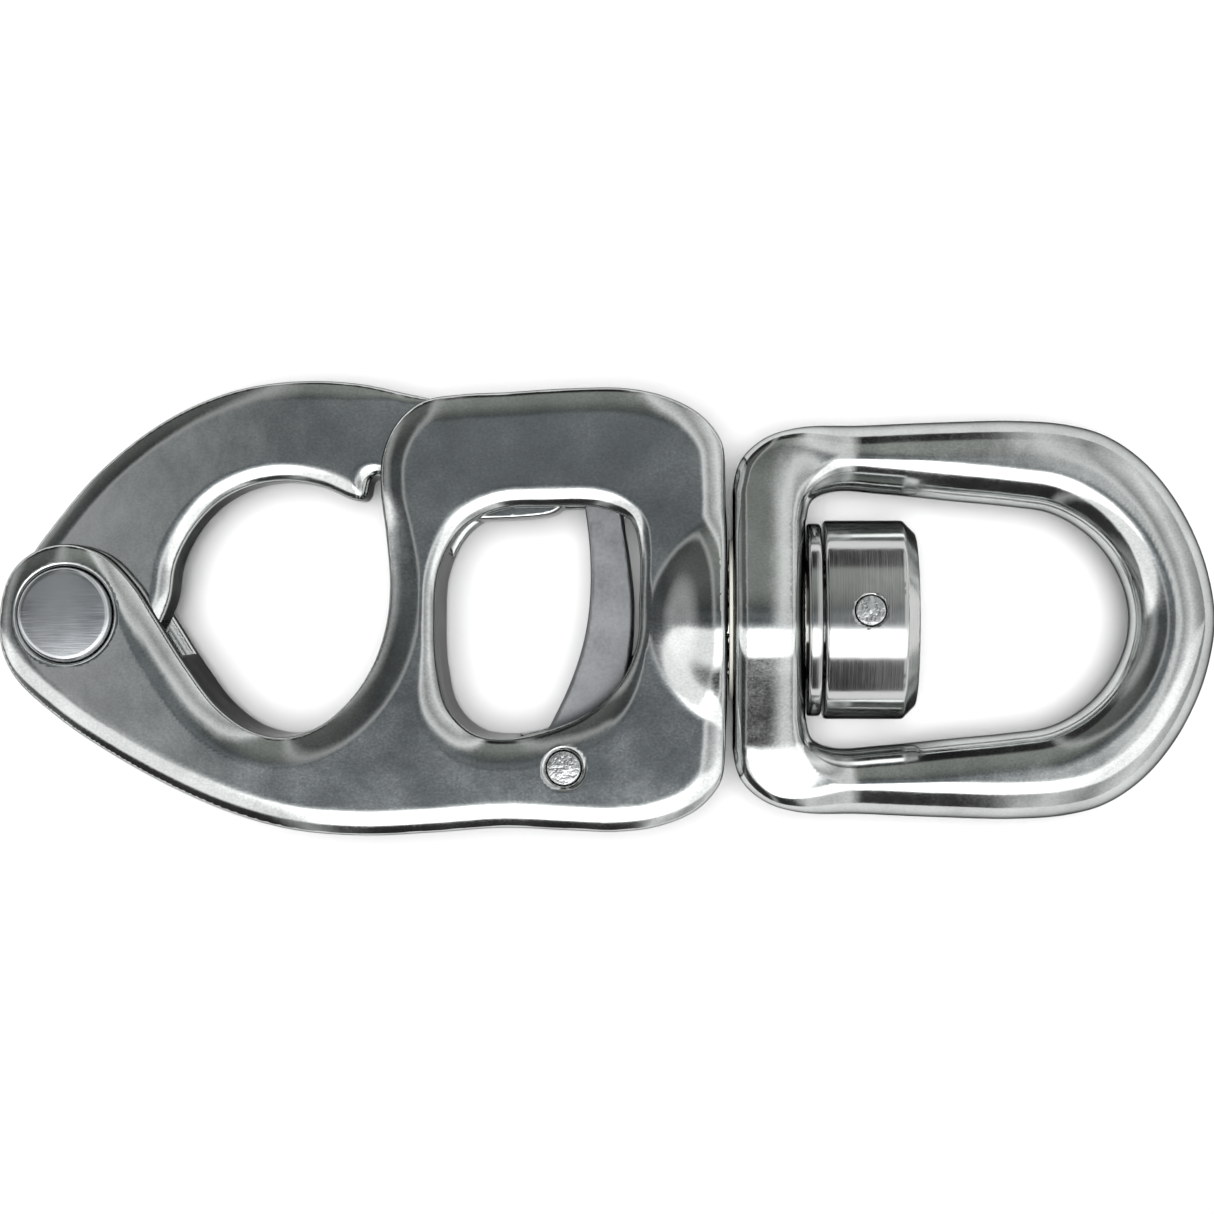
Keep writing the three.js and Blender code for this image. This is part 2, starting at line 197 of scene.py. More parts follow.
JAW_RING_WALL = [
    (-38.1, 16.6), (-42.6, 17.4), (-47.6, 16.8), (-52.2, 14.6), (-55.8, 10.9), (-58.2, 6.2),
    (-59.1, 1), (-61.4, -3.6),
]  # fmt: skip
TRIGGER_OUTLINE = [
    (-9.4, -20.2), (-6.6, -15.1), (-4.1, -9.7), (-2.4, -4.3), (-1.6, 1.2), (-1.6, 8),
    (-2.3, 14), (-2.9, 17.5), (-8, 17.5), (-8.5, 18.6), (-8, 20.8), (-6.4, 22.6), (-3, 23.6),
    (0.6, 23), (2.2, 20.8), (2.6, 17), (2.9, 12), (3.8, 6), (4.3, 0), (3.7, -8), (1.6, -16),
    (-0.3, -22.2), (-2.4, -25.3), (-5, -26.1), (-7.6, -25.2), (-9.3, -23),
]  # fmt: skip
EYE_OUTER_HALF = [
    (EYE_START, 17.5), (18.9, 21.7), (22, 24.6), (27, 26.2), (36, 26.6), (46, 27),
    (56, 27.2), (63, 26.7), (68.5, 25.2), (73.6, 21.8), (78, 16.6), (81.4, 10), (83, 4.4),
]  # fmt: skip
EYE_OUTER_END = 83.5
EYE_INNER_HALF = [
    (27.6, 13), (28.6, 16.2), (31.6, 17.5), (38, 17.2), (48, 16.2), (56, 15.4),
    (61, 14.6), (65.5, 12.2), (69, 8.6), (71.2, 4.2),
]  # fmt: skip
EYE_INNER_END = 71.9

# ------------------------------------------------------------------ distance fields
# A solid is a function of x, y and z, in drawing millimetres, that is negative inside it. Where it
# counts, its value is the distance to the surface.

GRID = 0.3  # step of the grid that an outline's distance is kept on
SAMPLE = 0.06  # step of the points along an outline


def smooth_path(points, closed=True, spacing=SAMPLE):
    """A centripetal Catmull-Rom curve through points, evenly and finely sampled."""
    points = np.array(points, float)
    if closed:
        around = np.vstack([points[-1], points, points[0], points[1]])
    else:
        start = 2 * points[0] - points[1]
        end = 2 * points[-1] - points[-2]
        around = np.vstack([start, points, end])
    pieces = []
    for p0, p1, p2, p3 in zip(around, around[1:], around[2:], around[3:]):
        t1 = math.dist(p0, p1) ** 0.5
        t2 = t1 + math.dist(p1, p2) ** 0.5
        t3 = t2 + math.dist(p2, p3) ** 0.5
        count = max(2, round(math.dist(p1, p2) / spacing))
        t = (t1 + (t2 - t1) * np.arange(count) / count)[:, None]
        a1 = (t1 - t) / t1 * p0 + t / t1 * p1
        a2 = (t2 - t) / (t2 - t1) * p1 + (t - t1) / (t2 - t1) * p2
        a3 = (t3 - t) / (t3 - t2) * p2 + (t - t2) / (t3 - t2) * p3
        b1 = (t2 - t) / t2 * a1 + t / t2 * a2
        b2 = (t3 - t) / (t3 - t1) * a2 + (t - t1) / (t3 - t1) * a3
        pieces.append((t2 - t) / (t2 - t1) * b1 + (t - t1) / (t2 - t1) * b2)
    if not closed:
        pieces.append(points[-1:])
    return np.vstack(pieces)


def straight_path(points, spacing=SAMPLE):
    """Straight lines from point to point and back to the first, finely sampled."""
    points = np.array(points, float)
    pieces = []
    for a, b in zip(points, np.roll(points, -1, axis=0)):
        count = max(2, round(math.dist(a, b) / spacing))
        pieces.append(a + (b - a) * (np.arange(count) / count)[:, None])
    return np.vstack(pieces)


def mirrored_path(half, end):
    """Half an outline, its end on the swivel's axis and its mirror image, closed by a straight line."""
    lower = [(x, SWIVEL_Y - r) for x, r in half]
    upper = [(x, SWIVEL_Y + r) for x, r in reversed(half)]
    curve = smooth_path([*lower, (end, SWIVEL_Y), *upper], closed=False)
    side = straight_path([curve[-1], curve[0]])
    return np.vstack([curve, side[1 : len(side) // 2]])


class Outline:
    """The signed distance to a closed path, on a grid that is read with a smooth spline."""

    def __init__(self, path, margin=8.0):
        ahead = np.roll(path, -1, axis=0) - np.roll(path, 1, axis=0)
        normals = np.stack([ahead[:, 1], -ahead[:, 0]], axis=1)
        normals /= np.linalg.norm(normals, axis=1)[:, None]
        area = np.sum(path[:, 0] * np.roll(path[:, 1], -1) - path[:, 1] * np.roll(path[:, 0], -1))
        if area < 0:
            normals = -normals
        tree = kdtree.KDTree(len(path))
        for i, (x, y) in enumerate(path):
            tree.insert((x, y, 0), i)
        tree.balance()
        self.low = path.min(axis=0) - margin
        count = np.ceil((path.max(axis=0) + margin - self.low) / GRID).astype(int) + 1
        xs = self.low[0] + GRID * np.arange(count[0])
        ys = self.low[1] + GRID * np.arange(count[1])
        nearest = np.array([[tree.find((x, y, 0))[1] for y in ys] for x in xs])
        apart = np.stack(np.meshgrid(xs, ys, indexing="ij"), axis=-1) - path[nearest]
        across = np.sum(apart * normals[nearest], axis=-1)
        length = np.linalg.norm(apart, axis=-1)
        self.values = np.where(length < 1.0, across, np.sign(across) * length)

    def __call__(self, x, y):
        u = np.clip((x - self.low[0]) / GRID, 1, self.values.shape[0] - 3.001)
        v = np.clip((y - self.low[1]) / GRID, 1, self.values.shape[1] - 3.001)
        i = u.astype(int)
        j = v.astype(int)
        total = 0.0
        for a, wa in enumerate(spline_weights(u - i)):
            for b, wb in enumerate(spline_weights(v - j)):
                total = total + wa * wb * self.values[i - 1 + a, j - 1 + b]
        return total


def spline_weights(t):
    """The four weights of a uniform cubic B-spline."""
    return (
        (1 - t) ** 3 / 6,
        (3 * t**3 - 6 * t**2 + 4) / 6,
        (-3 * t**3 + 3 * t**2 + 3 * t + 1) / 6,
        t**3 / 6,
    )


def soft_union(a, b, reach):
    """a and b joined, blended only where their distances differ by less than reach."""
    share = np.maximum(reach - np.abs(a - b), 0) / reach
    return np.minimum(a, b) - share**2 * reach / 4


def round_common(a, b, radius):
    """What a and b share, with the edge between them rounded to that radius."""
    corner = np.hypot(np.maximum(radius + a, 0), np.maximum(radius + b, 0))
    return np.minimum(-radius, np.maximum(a, b)) + corner


def round_cut(a, b, radius):
    """a without b, with the edge of the cut rounded to that radius."""
    return round_common(a, -b, radius)


def cylinder_z(x, y, centre, radius):
    """The distance to a cylinder along Z."""
    return np.hypot(x - centre[0], y - centre[1]) - radius


def from_swivel(y, z):
    """The distance to the swivel's axis."""
    return np.hypot(y - SWIVEL_Y, z)


def ease(x, start, end):
    """0 before start, 1 after end, smooth between."""
    t = np.clip((x - start) / (end - start), 0, 1)
    return t * t * (3 - 2 * t)


def change(x, start, end, first, last):
    """first before start, last after end, smooth between."""
    return first + (last - first) * ease(x, start, end)


# ------------------------------------------------------------------ from field to mesh

NEWTON_STEPS = 4
LEAST_STEEPNESS = 0.2  # the least squared gradient that a Newton step trusts
TINY = 1e-9
AXIS = 1e-6  # a profile's point nearer the axis than this is on it
EDGES = [
    (start, axis)
    for axis in range(3)
    for start in np.ndindex(2, 2, 2)
    if start[axis] == 0
]


def net_of(field, low, step):
    """A surface net: one vertex in each grid cell that the surface crosses, and quads between them."""
    inside = field < 0
    corners = sum(
        inside[i : inside.shape[0] - 1 + i, j : inside.shape[1] - 1 + j, k : inside.shape[2] - 1 + k]
        .astype(np.uint8)
        for i, j, k in np.ndindex(2, 2, 2)
    )
    cells = np.argwhere((corners > 0) & (corners < 8))
    number = np.full(corners.shape, -1)
    number[tuple(cells.T)] = np.arange(len(cells))
    total = np.zeros((len(cells), 3))
    count = np.zeros(len(cells))
    for start, axis in EDGES:
        first = cells + start
        second = first.copy()
        second[:, axis] += 1
        a = field[tuple(first.T)]
        b = field[tuple(second.T)]
        crossed = (a < 0) != (b < 0)
        share = np.where(crossed, a / np.where(a == b, 1, a - b), 0)
        point = first.astype(float)
        point[:, axis] += share
        total += point * crossed[:, None]
        count += crossed
    vertices = low + step * total / count[:, None]
    quads = []
    for axis in range(3):
        other = [(axis + 1) % 3, (axis + 2) % 3]
        lower = np.moveaxis(inside, axis, 0)[:-1]
        upper = np.moveaxis(inside, axis, 0)[1:]
        nodes = np.argwhere(np.moveaxis(lower != upper, 0, axis))
        nodes = nodes[(nodes[:, other[0]] > 0) & (nodes[:, other[1]] > 0)]
        last = np.array(number.shape)[other]
        nodes = nodes[(nodes[:, other[0]] < last[0]) & (nodes[:, other[1]] < last[1])]
        back = np.zeros((2, 3), int)
        back[0, other[0]] = 1
        back[1, other[1]] = 1
        ring = [nodes, nodes - back[0], nodes - back[0] - back[1], nodes - back[1]]
        quad = np.stack([number[tuple(n.T)] for n in ring], axis=1)
        outward = inside[tuple(nodes.T)]
        quads.append(np.where(outward[:, None], quad, quad[:, ::-1]))
    return vertices, np.vstack(quads)


def slope(solid, points, reach=0.02):
    """The field's value and gradient at the points."""
    columns = points.T
    value = solid(*columns)
    gradient = []
    for axis in range(3):
        moved = columns.copy()
        moved[axis] += reach
        there = solid(*moved)
        moved[axis] -= 2 * reach
        gradient.append((there - solid(*moved)) / (2 * reach))
    return value, np.stack(gradient, axis=1)


def add_piece(name, mesh, material, body, slot, *nodes):
    """A finished mesh as a piece that rides on its body and stands for its CAD nodes."""
    mesh.materials.append(material)
    piece = bpy.data.objects.new(name, mesh)
    bpy.context.scene.collection.objects.link(piece)
    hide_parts(*nodes)
    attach(piece, body)
    return piece


def solid_mesh(name, solid, low, high, step):
    """The mesh of a field's surface between two corners, on a grid of that step.

    A few short Newton steps draw every vertex onto the surface, and its normals are the field's."""
    low = np.array(low, float)
    count = np.ceil((np.array(high) - low) / step).astype(int) + 1
    x, y, z = [low[i] + step * np.arange(count[i]) for i in range(3)]
    field = solid(x[:, None, None], y[None, :, None], z[None, None, :])
    vertices, quads = net_of(np.broadcast_to(field, tuple(count)), low, step)
    for _ in range(NEWTON_STEPS):
        value, gradient = slope(solid, vertices)
        steepness = np.maximum(np.sum(gradient**2, axis=1), LEAST_STEEPNESS)
        move = -(value / steepness)[:, None] * gradient
        length = np.linalg.norm(move, axis=1)[:, None]
        vertices = vertices + move * np.minimum(1, 0.5 * step / np.maximum(length, TINY))
    _, gradient = slope(solid, vertices)
    normals = gradient / np.linalg.norm(gradient, axis=1)[:, None]
    mesh = bpy.data.meshes.new(name)
    mesh.from_pydata(((vertices + DRAWING_ZERO) * MM).tolist(), [], quads.tolist())
    mesh.shade_smooth()
    mesh.normals_split_custom_set_from_vertices(normals.tolist())
    return mesh


def turned_mesh(name, profile, centre, axis, sides=128, sharp=35):
    """A closed profile of (radius, height) turned about X or Z through centre."""
    ring = np.linspace(0, 2 * math.pi, sides, endpoint=False)
    vertices = []
    rows = []
    for radius, height in profile:
        if radius < AXIS:
            rows.append([len(vertices)] * sides)
            vertices.append((0, 0, height))
            continue
        rows.append(list(range(len(vertices), len(vertices) + sides)))
        vertices += [(radius * math.cos(a), radius * math.sin(a), height) for a in ring]
    if profile[0][0] > AXIS:
        rows.append(rows[0])
    faces = []
    for lower, upper in zip(rows, rows[1:]):
        for i in range(sides):
            j = (i + 1) % sides
            face = [lower[i], lower[j], upper[j], upper[i]]
            faces.append([v for n, v in enumerate(face) if v not in face[:n]])
    vertices = np.array(vertices, float)
    if axis == "X":
        vertices = vertices[:, [2, 0, 1]]
    mesh = bpy.data.meshes.new(name)
    mesh.from_pydata(((vertices + centre) * MM).tolist(), [], faces)
    mesh.shade_smooth()
    mesh.set_sharp_from_angle(angle=math.radians(sharp))
    return mesh


def rounded_profile(corners, steps=5):
    """A profile of (radius, height, rounding) corners with each corner rounded."""
    points = []
    size = len(corners)
    for i, (radius, height, rounding) in enumerate(corners):
        here = np.array([radius, height])
        if rounding <= 0:
            points.append(tuple(here))
            continue
        before = np.array(corners[i - 1][:2]) - here
        after = np.array(corners[(i + 1) % size][:2]) - here
        start = here + before / np.linalg.norm(before) * rounding
        end = here + after / np.linalg.norm(after) * rounding
        for s in range(steps + 1):
            t = s / steps
            points.append(tuple((1 - t) ** 2 * start + 2 * t * (1 - t) * here + t**2 * end))
    return points


# ------------------------------------------------------------------ materials

OUTLINE_SHADE = 0.05  # how much the steel reflects at a grazing angle: little, a painted shade that makes its outlines dark
CLOUD_SCALE = 130.0  # of the soft mottle, in 1/m
LINES_SHARE = 0.38  # of the fine lines in the tone and the gloss. The clouds have the rest
NOISE_RANGE = (0.35, 0.65)  # where most of a noise's values lie
MOTTLE_LIFT = 0.6  # how much lighter than the colour the mottle gets, for each part that it gets darker
DENT_SCALE = 110.0
DENT_DEPTH = 0.00005  # in metres


def node_tools(material):
    """A function that adds a node, and one that links two sockets."""
    tree = material.node_tree

    def add(kind, **inputs):
        node = tree.nodes.new(kind)
        for key, value in inputs.items():
            socket = node.inputs.get(key.replace("_", " "))
            if socket is None:
                setattr(node, key, value)
            else:
                socket.default_value = value
        return node

    return add, tree.links.new


def ramp(add, link, source, stops):
    """A colour ramp on a source socket, of (place, grey) or (place, colour) stops."""
    node = add("ShaderNodeValToRGB")
    elements = node.color_ramp.elements
    while len(elements) < len(stops):
        elements.new(0.5)
    for element, (place, tone) in zip(elements, stops):
        element.position = place
        element.color = (*(tone if isinstance(tone, list) else [tone] * 3), 1)
    link(source, node.inputs["Fac"])
    return node.outputs["Color"]


def noise(add, link, vector, scale, detail, roughness):
    """A noise texture's value over a vector."""
    node = add("ShaderNodeTexNoise", Scale=scale, Detail=detail, Roughness=roughness)
    link(vector, node.inputs["Vector"])
    return node.outputs["Fac"]


def steel(name, colour, roughness, spread, grain, grain_depth, mottle):
    """Stainless steel: a soft mottle in tone and gloss, fine lines along the grain, and faint dents.

    grain holds the lines' noise scales along X, Y and Z, in 1/m: the smaller, the more drawn out.
    spread is how far the roughness varies either way, and mottle how much darker the tone gets."""
    material = bpy.data.materials.new(name)
    material.use_nodes = True
    add, link = node_tools(material)
    shader = material.node_tree.nodes["Principled BSDF"]
    shader.inputs["Metallic"].default_value = 1.0
    # Painted shade: a dark grazing tint dims the steel's reflection at its rims, so the outlines read
    # dark.
    shader.inputs["Specular Tint"].default_value = (*[OUTLINE_SHADE] * 3, 1)
    place = add("ShaderNodeTexCoord").outputs["Object"]

    clouds = noise(add, link, place, CLOUD_SCALE, detail=4.0, roughness=0.55)
    stretched = add("ShaderNodeMapping")
    stretched.inputs["Scale"].default_value = grain
    link(place, stretched.inputs["Vector"])
    lines = noise(add, link, stretched.outputs["Vector"], 1.0, detail=3.0, roughness=0.6)
    marks = add("ShaderNodeMix", data_type="RGBA")
    marks.inputs["Factor"].default_value = LINES_SHARE
    link(clouds, marks.inputs["A"])
    link(lines, marks.inputs["B"])

    tone = add("ShaderNodeMix", data_type="RGBA")
    tone.inputs["A"].default_value = (*[c * (1 - mottle) for c in colour], 1)
    tone.inputs["B"].default_value = (*[min(1, c * (1 + mottle * MOTTLE_LIFT)) for c in colour], 1)
    link(ramp(add, link, marks.outputs["Result"], [(0.33, 0.0), (0.66, 1.0)]), tone.inputs["Factor"])
    link(tone.outputs["Result"], shader.inputs["Base Color"])

    rough = add("ShaderNodeMapRange")
    rough.inputs["From Min"].default_value = NOISE_RANGE[0]
    rough.inputs["From Max"].default_value = NOISE_RANGE[1]
    rough.inputs["To Min"].default_value = roughness - spread
    rough.inputs["To Max"].default_value = roughness + spread
    link(marks.outputs["Result"], rough.inputs["Value"])
    link(rough.outputs["Result"], shader.inputs["Roughness"])

    dents = add("ShaderNodeBump", Strength=1.0, Distance=DENT_DEPTH)
    hollows = noise(add, link, place, DENT_SCALE, detail=3.0, roughness=0.5)
    link(hollows, dents.inputs["Height"])
    fine = add("ShaderNodeBump", Strength=1.0, Distance=grain_depth)
    link(lines, fine.inputs["Height"])
    link(dents.outputs["Normal"], fine.inputs["Normal"])
    link(fine.outputs["Normal"], shader.inputs["Normal"])
    return material


def plastic(name, colour):
    """Natural acetal, slightly waxy, with a faint mottle in tone and gloss."""
    material = bpy.data.materials.new(name)
    material.use_nodes = True
    add, link = node_tools(material)
    shader = material.node_tree.nodes["Principled BSDF"]
    place = add("ShaderNodeTexCoord").outputs["Object"]
    clouds = noise(add, link, place, scale=400.0, detail=3.0, roughness=0.5)
    tone = add("ShaderNodeMix", data_type="RGBA")
    tone.inputs["A"].default_value = (*[c * 0.9 for c in colour], 1)
    tone.inputs["B"].default_value = (*colour, 1)
    link(clouds, tone.inputs["Factor"])
    link(tone.outputs["Result"], shader.inputs["Base Color"])
    link(ramp(add, link, clouds, [(0.3, 0.4), (0.7, 0.55)]), shader.inputs["Roughness"])
    return material


FORGED = steel(
    "polished_forging",
    (0.64, 0.66, 0.65),
    roughness=0.11,
    spread=0.05,
    grain=(2600, 3400, 3400),
    grain_depth=2e-6,
    mottle=0.24,
)
TRIGGER_STEEL = steel(
    "satin_trigger",
    (0.46, 0.47, 0.485),
    roughness=0.40,
    spread=0.10,
    grain=(2500, 2500, 2500),
    grain_depth=6e-6,
    mottle=0.25,
)
PIN_STEEL = steel(
    "pin_steel",
    (0.64, 0.66, 0.68),
    roughness=0.22,
    spread=0.06,
    grain=(260, 5000, 3000),
    grain_depth=8e-6,
    mottle=0.10,
)
TURNED = steel(
    "turned_steel",
    (0.62, 0.63, 0.62),
    roughness=0.13,
    spread=0.04,
    grain=(9000, 60, 60),
    grain_depth=5e-6,
    mottle=0.05,
)
RIVET_STEEL = steel(
    "peened_steel",
    (0.66, 0.68, 0.68),
    roughness=0.26,
    spread=0.08,
    grain=(900, 900, 900),
    grain_depth=2.5e-4,
    mottle=0.10,
)
SPRING_STEEL = steel(
    "spring_wire",
    (0.66, 0.67, 0.68),
    roughness=0.25,
    spread=0.05,
    grain=(900, 900, 900),
    grain_depth=1e-6,
    mottle=0.05,
)
ACETAL = plastic("acetal", (0.80, 0.78, 0.70))

# ------------------------------------------------------------------ body


def cheek_solid(x, y, z, rim):
    """Both cheeks as one: a wide soft rounding that a steep side wall cuts at its foot."""
    in_ring = ease(-cylinder_z(x, y, RING_MIDDLE, RING_REACH), 0, RING_FADE)
    spread = EDGE_SPREAD + RING_SPREAD * in_ring
    cheeks = round_common((rim - RIM_CUT) / spread, np.abs(z) - CHEEK_HALF, BODY_EDGE)
    return round_common(cheeks, rim, RIM_EDGE)


def neck_solid(x, y, z):
    """Half an ellipsoid about the swivel's axis, widest near the body's end.

    ratio is 1 on its surface, and steep is how fast it grows across it, kept clear of nought."""
    out = from_swivel(y, z)
    widest = BODY_END - BODY_END_EDGE
    length = widest - NECK_START
    back = np.minimum(x - widest, 0) / length
    ratio = np.maximum(np.hypot(back, out / BOSS_RADIUS), 1e-6)
    steep = np.maximum(np.hypot(back / length, out / BOSS_RADIUS**2) / ratio, 0.02)
    return round_common((ratio - 1) / steep, x - BODY_END, BODY_END_EDGE)


def body_solid():
    """The forging: cheeks, arm, strut, neck and shank, with its window, slot, pocket and pin holes."""
    outline = Outline(smooth_path(BODY_OUTLINE))
    window = Outline(smooth_path(WINDOW_OUTLINE))
    slot = Outline(straight_path(SLOT_OUTLINE))

    def solid(x, y, z):
        cheeks = cheek_solid(x, y, z, outline(x, y))
        reach = change(x, NECK_BLEND_START, BODY_END, NECK_BLEND, NECK_BLEND_AT_END)
        solid = soft_union(cheeks, neck_solid(x, y, z), reach)
        solid = round_common(solid, x - BODY_END, BODY_END_EDGE)

        edge = change(-y, *WINDOW_EDGE_CHANGE, WINDOW_EDGE, WINDOW_EDGE_BELOW)
        spread = change(np.abs(y), *WINDOW_SPREAD_CHANGE, WINDOW_SPREAD, WINDOW_SPREAD_ENDS)
        spread = spread - WINDOW_SPREAD_LOSS * ease(x, *WINDOW_LOSS_CHANGE)
        solid = round_cut(solid, window(x, y) / spread, edge)

        between = np.abs(z) - SLOT_HALF
        solid = round_cut(solid, np.maximum(slot(x, y), between), SLOT_EDGE)
        pocket = cylinder_z(x, y, JAW_PIVOT, HEEL_POCKET_RADIUS)
        solid = round_cut(solid, np.maximum(pocket, between), HEEL_POCKET_EDGE)
        jaw_hole = cylinder_z(x, y, JAW_PIVOT, JAW_PIN_RADIUS + PIN_GAP)
        solid = round_cut(solid, jaw_hole, JAW_PIN_HOLE_EDGE)
        trigger_hole = cylinder_z(x, y, TRIGGER_PIVOT, TRIGGER_PIN_RADIUS + PIN_GAP)
        solid = round_cut(solid, trigger_hole, TRIGGER_PIN_HOLE_EDGE)

        shank = np.maximum(from_swivel(y, z) - SHANK_RADIUS, np.maximum(x - SHANK_END, SHANK_START - x))
        return np.minimum(solid, shank)

    return solid


def make_body():
    """The forging's mesh and piece."""
    mesh = solid_mesh("body_forging", body_solid(), (-83.5, -32.5, -15), (44, 31.5, 15), step=0.42)
    return add_piece("body_forging", mesh, FORGED, "body", "forged_steel", "body")


# ------------------------------------------------------------------ jaw and trigger


def jaw_solid():
    """The hooked jaw. Its rounding is wide on the arm and narrow on the tongue between the cheeks."""
    outline = Outline(smooth_path([*JAW_BACK, *JAW_TONGUE, *JAW_RING_WALL]))

    def solid(x, y, z):
        edge = change(x, *JAW_EDGE_CHANGE, JAW_EDGE, JAW_TONGUE_EDGE)
        spread = change(x, *JAW_SPREAD_CHANGE, JAW_SPREAD, JAW_TONGUE_SPREAD)
        rim = outline(x, y)
        foot = RIM_CUT * edge / BODY_EDGE
        solid = round_common((rim - foot) / spread, np.abs(z) - INNER_HALF, edge)
        solid = round_common(solid, rim, RIM_EDGE)
        return np.maximum(solid, -cylinder_z(x, y, JAW_PIVOT, JAW_PIN_RADIUS + JAW_GAP))

    return solid


def make_jaw():
    """The jaw's mesh and piece."""
    mesh = solid_mesh("jaw_hook", jaw_solid(), (-82.5, -11.5, -6), (-3, 33, 6), step=0.42)
    return add_piece("jaw_hook", mesh, FORGED, "jaw", "forged_steel", "jaw")


def trigger_solid():
    """The curved lever, with the hole for its pin and the bore for its spring."""
    outline = Outline(smooth_path(TRIGGER_OUTLINE))

    def solid(x, y, z):
        solid = round_common(outline(x, y), np.abs(z) - INNER_HALF, TRIGGER_EDGE)
        hole = cylinder_z(x, y, TRIGGER_PIVOT, TRIGGER_PIN_RADIUS + TRIGGER_GAP)
        solid = np.maximum(solid, -hole)
        bore = np.maximum(np.hypot(y - SPRING_BORE_Y, z) - SPRING_BORE_RADIUS, SPRING_SEAT - x)
        return np.maximum(solid, -bore)

    return solid


def make_trigger():
    """The trigger's mesh and piece."""
    mesh = solid_mesh("trigger_lever", trigger_solid(), (-11.5, -28, -6), (6, 25.5, 6), step=0.35)
    return add_piece("trigger_lever", mesh, TRIGGER_STEEL, "trigger", "trigger_steel", "trigger")


def make_spring():
    """The coil between the trigger's bore and the wall of its pocket."""
    low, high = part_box("trigger_spring")
    start = low[0] / MM + 2 * SPRING_WIRE
    end = high[0] / MM - 2 * SPRING_WIRE
    axis_y, axis_z = middle("trigger_spring")[1:]
    along = np.array([1, 0, 0])
    turns, steps, sides = 6, 32, 12
    count = turns * steps
    vertices = []
    for i in range(count + 1):
        turn = 2 * math.pi * i / steps
        out = np.array([0, math.cos(turn), math.sin(turn)])
        centre = np.array([start + (end - start) * i / count, axis_y, axis_z]) + SPRING_COIL * out
        for k in range(sides):
            a = 2 * math.pi * k / sides
            vertices.append(centre + SPRING_WIRE * (math.cos(a) * out + math.sin(a) * along))
    faces = []
    for i in range(count):
        for k in range(sides):
            beside = (k + 1) % sides
            here, ahead = i * sides, (i + 1) * sides
            faces.append([here + k, here + beside, ahead + beside, ahead + k])
    faces.append(list(range(sides)))
    faces.append(list(range(count * sides, (count + 1) * sides))[::-1])
    mesh = bpy.data.meshes.new("trigger_coil")
    mesh.from_pydata((np.array(vertices) * MM).tolist(), [], faces)
    mesh.shade_smooth()
    coil = add_piece("trigger_coil", mesh, SPRING_STEEL, "body", "spring_steel", "trigger_spring")
    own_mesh(coil)
    return coil


# ------------------------------------------------------------------ pins


def make_jaw_pin():
    """The load pin: its ends stand a little proud of the cheeks, with a rounded edge."""
    top, r = JAW_PIN_TOP, JAW_PIN_RADIUS
    corners = [(0, -top, 0), (r, -top, JAW_PIN_EDGE), (r, top, JAW_PIN_EDGE), (0, top, 0)]
    mesh = turned_mesh("load_pin", rounded_profile(corners), middle("jaw_pin"), "Z")
    return add_piece("load_pin", mesh, PIN_STEEL, "body", "pin_steel", "jaw_pin")


def make_trigger_pin():
    """The trigger's pin: its peened ends are slightly domed and lie just under the cheeks' faces."""
    top, r = TRIGGER_PIN_TOP, TRIGGER_PIN_RADIUS
    rim = top - TRIGGER_PIN_DOME
    corners = [(0, -top, 0), (r, -rim, TRIGGER_PIN_EDGE), (r, rim, TRIGGER_PIN_EDGE), (0, top, 0)]
    mesh = turned_mesh("rivet_pin", rounded_profile(corners), middle("trigger_pin"), "Z", sides=64)
    return add_piece("rivet_pin", mesh, RIVET_STEEL, "body", "rivet_steel", "trigger_pin")


# ------------------------------------------------------------------ swivel


def eye_bar(x, y, z):
    """The faces of the end bar: round over the hub, then sloping straight down to the arms."""
    aside = np.abs(y - SWIVEL_Y)
    roof = np.abs(z) * math.cos(EYE_ROOF) + aside * math.sin(EYE_ROOF) - BOSS_RADIUS
    on_arc = aside < np.abs(z) * math.tan(EYE_ROOF)
    barrel = EYE_BARREL * ((x - EYE_MIDDLE) / (EYE_HUB_END - EYE_MIDDLE)) ** 2
    return np.where(on_arc, from_swivel(y, z) - BOSS_RADIUS, roof) + barrel


def eye_solid():
    """The eye: a flat end bar round the hub that runs into two arms and a crown of round section."""
    outer = Outline(mirrored_path(EYE_OUTER_HALF, EYE_OUTER_END))
    inner = Outline(mirrored_path(EYE_INNER_HALF, EYE_INNER_END))

    def solid(x, y, z):
        out = from_swivel(y, z)
        arm = np.abs(z) - EYE_ARM_HALF
        bar = soft_union(arm, eye_bar(x, y, z), EYE_BAR_BLEND)
        faces = change(x, *EYE_FACES_CHANGE, bar, arm)
        outer_edge = change(x, *EYE_EDGES_CHANGE, EYE_OUTER_EDGE, EYE_ARM_EDGE)
        inner_edge = change(x, *EYE_EDGES_CHANGE, EYE_INNER_EDGE, EYE_ARM_EDGE)
        solid = round_common(outer(x, y), faces, outer_edge)
        solid = round_common(solid, -inner(x, y), inner_edge)
        solid = round_common(solid, EYE_START - x, EYE_FACE_EDGE)
        solid = np.maximum(solid, -np.maximum(out - WASHER_SEAT_RADIUS, x - WASHER_SEAT_END))
        return np.maximum(solid, -np.maximum(out - BUSH_HOLE_RADIUS, x - BUSH_HOLE_END))

    return solid


def make_eye():
    """The eye's mesh and piece."""
    mesh = solid_mesh("eye_loop", eye_solid(), (16, -31, -15), (85, 28, 15), step=0.45)
    return add_piece("eye_loop", mesh, FORGED, "eye", "forged_steel", "swivel_eye")


